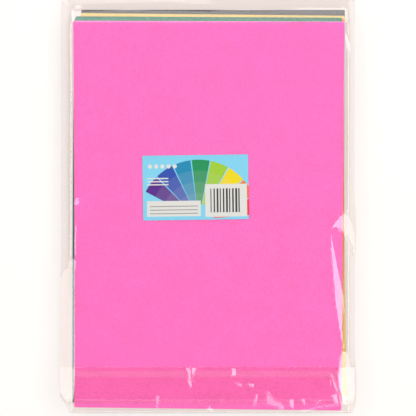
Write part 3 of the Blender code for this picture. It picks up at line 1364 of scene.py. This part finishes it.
    def panel_rows(self) -> list[float]:
        """Return the y of the rows that the pouch's two panels share, from the lip to the fold.

        Returns:
            The rows.
        """
        lines = self.lines
        rows = [lines.lip_line]
        spans = []
        for start, end in self.fine_stretches:
            spans += [(start, self.coarse_row), (end, self.fine_row)]
        spans += [(lines.head_flat, self.coarse_row), (lines.fold_line, self.fold_row)]
        for end, pitch in spans:
            rows += spaced(rows[-1], end, round((end - rows[-1]) / pitch))[1:]
        return rows

    def blank(
        self, rows: list[tuple[Callable[[float, float], Vector], float]], columns: list[float]
    ) -> bmesh.types.BMesh:
        """Lay a rectangular blank of film along rows of point methods.

        Args:
            rows: Each row's point method and its place.
            columns: The film columns that all rows share.

        Returns:
            The film's open sheet, welded where its edges meet.
        """
        shape = bmesh.new()
        across = len(columns) - 1
        along = len(rows) - 1
        bmesh.ops.create_grid(shape, x_segments=across, y_segments=along, size=0.5)
        for vert in shape.verts:
            column = columns[round((vert.co.x + 0.5) * across)]
            point, place = rows[round((vert.co.y + 0.5) * along)]
            vert.co = point(column, place)
        bmesh.ops.remove_doubles(shape, verts=shape.verts, dist=self.merge)
        bmesh.ops.recalc_face_normals(shape, faces=shape.faces)
        return shape

    def build_pouch(self, film: bpy.types.Material) -> bpy.types.Object:
        """Build the pouch: back panel, fold and front panel in one sheet.

        Args:
            film: The film's material.

        Returns:
            The pouch.
        """
        lines = self.panel_rows()
        rows = [(self.mouth_point, step) for step in spaced(0.0, 1.0, self.mouth_rows)[:-1]]
        rows += [(self.back_point, y) for y in lines]
        rows += [(self.front_point, y) for y in reversed(lines[:-1])]
        return new_piece("bag_pouch", self.blank(rows, self.pouch_columns()), [film])

    def build_flap(self, film: bpy.types.Material) -> bpy.types.Object:
        """Build the flap, with its turn round the stack's end.

        Args:
            film: The film's material.

        Returns:
            The flap.
        """
        flap_rows = round((self.lines.flap_edge - self.lines.end_line) / self.flap_row)
        rows = [(self.flap_point, step) for step in spaced(0.0, 1.0, flap_rows)[:-1]]
        rows += [(self.end_point, step) for step in spaced(0.0, 1.0, self.end_rows)]
        return new_piece("bag_flap", self.blank(rows, self.flap_columns()), [film])

    def build(self) -> list[bpy.types.Object]:
        """Build the pouch and the flap.

        Returns:
            The two objects.
        """
        film = FilmFinish().material("clear_film")
        cuts = {self.build_pouch(film): self.pouch_cut, self.build_flap(film): self.flap_cut}
        for piece, cut in cuts.items():
            thicken(piece, self.lines.gauge)
            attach(piece, BODY)
            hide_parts("poly_bag")
        return list(cuts)


@dataclass
class SealTape:
    """The strip of adhesive between the flap and the front film, reaching past the flat at both sides."""

    lines: PackLines
    reach: float = 1.2
    columns: int = 300
    rows: int = 12

    def build(self) -> bpy.types.Object:
        """Build the strip so that it follows the film.

        Returns:
            The strip.
        """
        lines = self.lines
        lift = lines.tape_level - lines.front_level
        shape = bmesh.new()
        bmesh.ops.create_grid(shape, x_segments=self.columns, y_segments=self.rows, size=0.5)
        for vert in shape.verts:
            y = lines.tape_edge + (vert.co.y - 0.5) * lines.tape_width
            x = lines.column_x(2 * self.reach * vert.co.x, y)
            vert.co = (x, y, lines.front_height(x, y) + lift)
        bmesh.ops.recalc_face_normals(shape, faces=shape.faces)
        piece = new_piece("seal_strip", shape, [TapeFinish().material("seal_adhesive")])
        thicken(piece, lines.gauge)
        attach(piece, BODY)
        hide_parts("seal_tape")
        return piece


@dataclass
class PackLabel:
    """The paper label on the front film."""

    lines: PackLines
    width: float = 82.0 * MM
    height: float = 50.2 * MM
    corner: float = 0.8 * MM
    turn: float = math.radians(0.8)
    across: int = 20
    along: int = 12
    edge_colour: Colour = (0.90, 0.89, 0.87)
    edge_roughness: float = 0.6

    def build(self) -> bpy.types.Object:
        """Build the label so that it lies as the film under it does.

        Returns:
            The label.
        """
        low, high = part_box("label")
        middle = (low + high) / 2
        board = Board(self.width, self.height, high.z - low.z, self.corner, 0.0, self.across, self.along)
        shape = board.shape()
        for vert in shape.verts:
            x = middle.x + vert.co.x * math.cos(self.turn) - vert.co.y * math.sin(self.turn)
            y = middle.y + vert.co.x * math.sin(self.turn) + vert.co.y * math.cos(self.turn)
            vert.co = (x, y, low.z + vert.co.z + self.lines.lie(x, y))
        face = LabelPrint().material("label_paper", middle, self.turn)
        edge = PlainFinish(self.edge_colour, self.edge_roughness).material("label_edge")
        piece = new_piece("pack_label", shape, [face, edge])
        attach(piece, BODY)
        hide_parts("label")
        return piece


@dataclass(frozen=True)
class SoftLight:
    """A rectangular light facing the pack, with its middle, width along the floor, height and radiance."""

    name: str
    place: Triple
    width: float
    height: float
    radiance: float
    colour: Colour = (1.0, 1.0, 1.0)

    def build(self) -> None:
        """Add the light, unseen by the camera itself."""
        data = bpy.data.lights.new(self.name, "AREA")
        data.shape = "RECTANGLE"
        data.size = self.width
        data.size_y = self.height
        data.energy = self.radiance * math.pi * self.width * self.height
        data.color = self.colour
        lamp = bpy.data.objects.new(self.name, data)
        lamp.location = self.place
        toward = Vector() - Vector(self.place)
        lamp.rotation_euler = toward.to_track_quat("-Z", "Y").to_euler()
        lamp.visible_camera = False
        bpy.context.scene.collection.objects.link(lamp)


@dataclass
class Studio:
    """A pale light table, soft lights and a camera straight above the pack."""

    camera_height: float = 0.70
    sensor: float = 36.0
    floor_size: float = 6.0
    floor_cells: int = 8
    floor_roughness: float = 0.9
    floor_colour: Colour = (0.31, 0.295, 0.285)
    floor_glow: float = 0.62
    floor_glow_colour: Colour = (1.0, 0.95, 0.935)
    film_layers: int = 40
    sky: Colour = (1.0, 1.0, 1.0)
    sky_strength: float = 0.06
    lights: tuple[SoftLight, ...] = (
        SoftLight("right_strip", (0.46, 0.0, 0.74), 0.85, 0.25, 6.0, (1.0, 0.98, 0.90)),
        SoftLight("right_fill", (0.70, 0.0, 0.63), 0.85, 0.22, 2.7),
        SoftLight("left_strip", (-0.50, 0.0, 0.72), 0.85, 0.24, 4.4),
        SoftLight("left_fill", (-0.727, 0.0, 0.605), 0.85, 0.22, 2.7),
        SoftLight("foot_panel", (0.0, -0.62, 0.72), 0.80, 0.32, 3.4),
        SoftLight("head_panel", (0.0, 0.70, 0.515), 0.70, 0.74, 2.9),
    )

    def build(self) -> None:
        """Add the floor, the world, the lights and the camera."""
        self.add_floor()
        self.add_world()
        for light in self.lights:
            light.build()
        self.add_camera()
        scene = bpy.context.scene
        scene.view_settings.view_transform = "Standard"
        scene.cycles.transparent_max_bounces = self.film_layers

    def add_floor(self) -> None:
        """Add the floor, just under the pack."""
        shape = bmesh.new()
        cells = self.floor_cells
        bmesh.ops.create_grid(shape, x_segments=cells, y_segments=cells, size=self.floor_size / 2)
        finish = PlainFinish(
            self.floor_colour, self.floor_roughness, self.floor_glow, self.floor_glow_colour
        )
        floor = finish.material("studio_floor")
        new_piece("studio_floor", shape, [floor])

    def add_world(self) -> None:
        """Give the world an even pale light."""
        world = bpy.data.worlds.new("studio")
        world.use_nodes = True
        back = world.node_tree.nodes["Background"]
        back.inputs["Color"].default_value = (*self.sky, 1.0)
        back.inputs["Strength"].default_value = self.sky_strength
        bpy.context.scene.world = world

    def add_camera(self) -> None:
        """Add the camera, so that the top sheet falls where the photograph has it."""
        data = bpy.data.cameras.new("camera")
        data.sensor_width = self.sensor
        data.lens = data.sensor_width * self.camera_height / (PHOTO_SIDE * PIXEL)
        camera = bpy.data.objects.new("camera", data)
        camera.location = (
            SHEET_MIDDLE.x - (PHOTO_SHEET_MIDDLE[0] - PHOTO_SIDE / 2) * PIXEL,
            SHEET_MIDDLE.y + (PHOTO_SHEET_MIDDLE[1] - PHOTO_SIDE / 2) * PIXEL,
            SHEET_HIGH.z + self.camera_height,
        )
        bpy.context.scene.collection.objects.link(camera)
        bpy.context.scene.camera = camera


def main() -> None:
    """Build the pack and its studio, and report each piece."""
    logging.basicConfig(level=logging.INFO, format="%(message)s")
    stack = FoamStack()
    lines = PackLines([sheet.node for sheet in stack.sheets])
    Studio().build()
    pieces = stack.build(lines) + BagFilm(lines).build()
    pieces += [SealTape(lines).build(), PackLabel(lines).build()]
    for piece in pieces:
        log.info("%s: %d faces", piece.name, len(piece.data.polygons))


if __name__ == "__main__":
    main()
